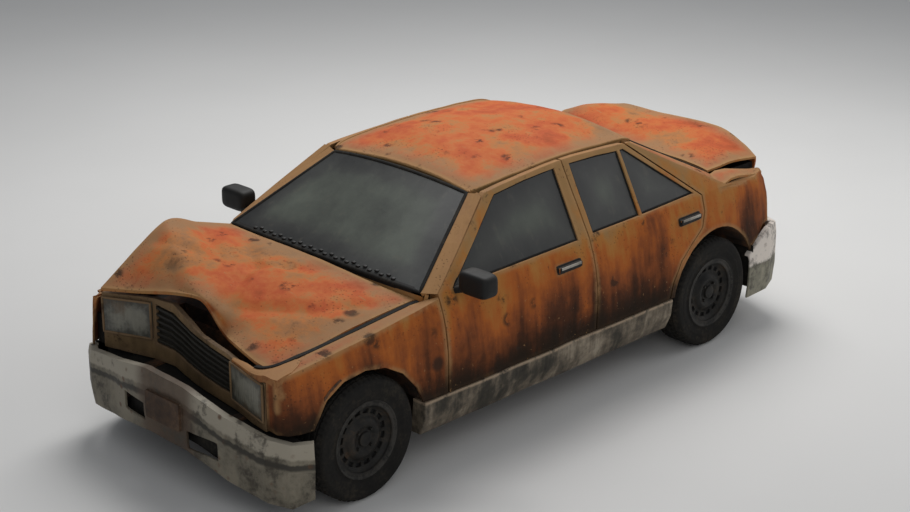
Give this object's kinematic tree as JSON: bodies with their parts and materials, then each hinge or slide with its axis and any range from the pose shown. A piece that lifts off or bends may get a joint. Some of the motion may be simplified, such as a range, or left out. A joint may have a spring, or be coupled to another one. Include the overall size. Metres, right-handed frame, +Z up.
{
  "type": "wrecked four-door saloon car",
  "caption": "Rusted and crashed four-door saloon with a buckled bonnet, pushed-in nose, drooping bumper, lifted boot lid, opening doors, turning and steering wheels and a bare cabin.",
  "frame": {"origin": "on the ground under the middle of the car", "axes": "+X to the car's left, +Y to the rear, +Z up"},
  "size_m": [2, 4.03, 1.36],
  "materials": {
    "rust": "orange rust over worn paint",
    "rust_dark": "dark rust with pale worn edges",
    "trim_pale": "dirty pale grey, worn",
    "black_plastic": "faded black",
    "tyre": "dusty rubber",
    "rim": "dull dark steel",
    "glass": "dirty greenish glass",
    "lamp_glass": "dirty clear lamp glass",
    "tail_glass": "dull red lamp glass",
    "cloth": "dirty grey cloth",
    "chassis": "brown rust, dirt"
  },
  "bodies": {
    "body": {"fender_front_left": "rust", "quarter_rear_left": "rust", "sill_left": "rust_dark", "headlight_left": "lamp_glass", "taillight_left": "tail_glass", "seat_front_left": "cloth", "fender_front_right": "rust", "quarter_rear_right": "rust", "sill_right": "rust_dark", "headlight_right": "lamp_glass", "taillight_right": "tail_glass", "seat_front_right": "cloth", "roof": "rust", "nose_panel": "rust", "tail_panel": "rust", "windshield": "glass", "rear_window": "glass", "grille": "black_plastic", "dashboard": "black_plastic", "steering_wheel": "black_plastic", "bumper_front": "trim_pale", "bumper_rear": "trim_pale", "floor_pan": "chassis", "frame_front": "chassis", "frame_cabin": "chassis", "frame_rear": "chassis", "engine": "chassis", "subframe_front": "chassis", "axle_rear": "chassis", "exhaust": "chassis", "seat_rear": "cloth"},
    "front_door_left": {"door_front_left": "rust", "glass_front_left": "glass", "mirror_left": "black_plastic"},
    "rear_door_left": {"door_rear_left": "rust", "glass_rear_left": "glass", "glass_quarter_left": "glass"},
    "steered_hub_left": {"knuckle_left": "chassis"},
    "wheel_front_left": {"tyre_front_left": "tyre", "rim_front_left": "rim"},
    "wheel_rear_left": {"tyre_rear_left": "tyre", "rim_rear_left": "rim"},
    "front_door_right": {"door_front_right": "rust", "glass_front_right": "glass", "mirror_right": "black_plastic"},
    "rear_door_right": {"door_rear_right": "rust", "glass_rear_right": "glass", "glass_quarter_right": "glass"},
    "steered_hub_right": {"knuckle_right": "chassis"},
    "wheel_front_right": {"tyre_front_right": "tyre", "rim_front_right": "rim"},
    "wheel_rear_right": {"tyre_rear_right": "tyre", "rim_rear_right": "rim"},
    "bonnet": {"hood": "rust"},
    "boot_lid": {"trunk_lid": "rust"}
  },
  "joints": [
    {"name": "front_door_left", "type": "hinge", "parent": "body", "child": "front_door_left", "pos_m": [0.852, -0.903, 0.65], "axis": [0, 0, -1], "range_deg": [0, 65]},
    {"name": "rear_door_left", "type": "hinge", "parent": "body", "child": "rear_door_left", "pos_m": [0.854, 0.201, 0.65], "axis": [0, 0, -1], "range_deg": [0, 65]},
    {"name": "steering_left", "type": "hinge", "parent": "body", "child": "steered_hub_left", "pos_m": [0.637, -1.423, 0.315], "axis": [-0.1961, 0, 0.9806], "range_deg": [-30, 30]},
    {"name": "wheel_front_left", "type": "hinge", "parent": "steered_hub_left", "child": "wheel_front_left", "pos_m": [0.7215, -1.423, 0.315], "axis": [1, 0, 0], "continuous": true},
    {"name": "wheel_rear_left", "type": "hinge", "parent": "body", "child": "wheel_rear_left", "pos_m": [0.7215, 1.225, 0.315], "axis": [1, 0, 0], "continuous": true},
    {"name": "front_door_right", "type": "hinge", "parent": "body", "child": "front_door_right", "pos_m": [-0.852, -0.903, 0.65], "axis": [0, 0, 1], "range_deg": [0, 65]},
    {"name": "rear_door_right", "type": "hinge", "parent": "body", "child": "rear_door_right", "pos_m": [-0.854, 0.201, 0.65], "axis": [0, 0, 1], "range_deg": [0, 65]},
    {"name": "steering_right", "type": "hinge", "parent": "body", "child": "steered_hub_right", "pos_m": [-0.637, -1.423, 0.315], "axis": [0.1961, 0, 0.9806], "range_deg": [-30, 30]},
    {"name": "wheel_front_right", "type": "hinge", "parent": "steered_hub_right", "child": "wheel_front_right", "pos_m": [-0.7215, -1.423, 0.315], "axis": [1, 0, 0], "continuous": true},
    {"name": "wheel_rear_right", "type": "hinge", "parent": "body", "child": "wheel_rear_right", "pos_m": [-0.7215, 1.225, 0.315], "axis": [1, 0, 0], "continuous": true},
    {"name": "bonnet", "type": "hinge", "parent": "body", "child": "bonnet", "pos_m": [0, -1.003, 0.9], "axis": [-1, 0, 0], "range_deg": [0, 45]},
    {"name": "boot_lid", "type": "hinge", "parent": "body", "child": "boot_lid", "pos_m": [0, 1.4285, 0.955], "axis": [1, 0, 0], "range_deg": [0, 60]}
  ],
  "couplings": [
    {"joint": "steering_right", "follows": "steering_left", "ratio": 1}
  ]
}
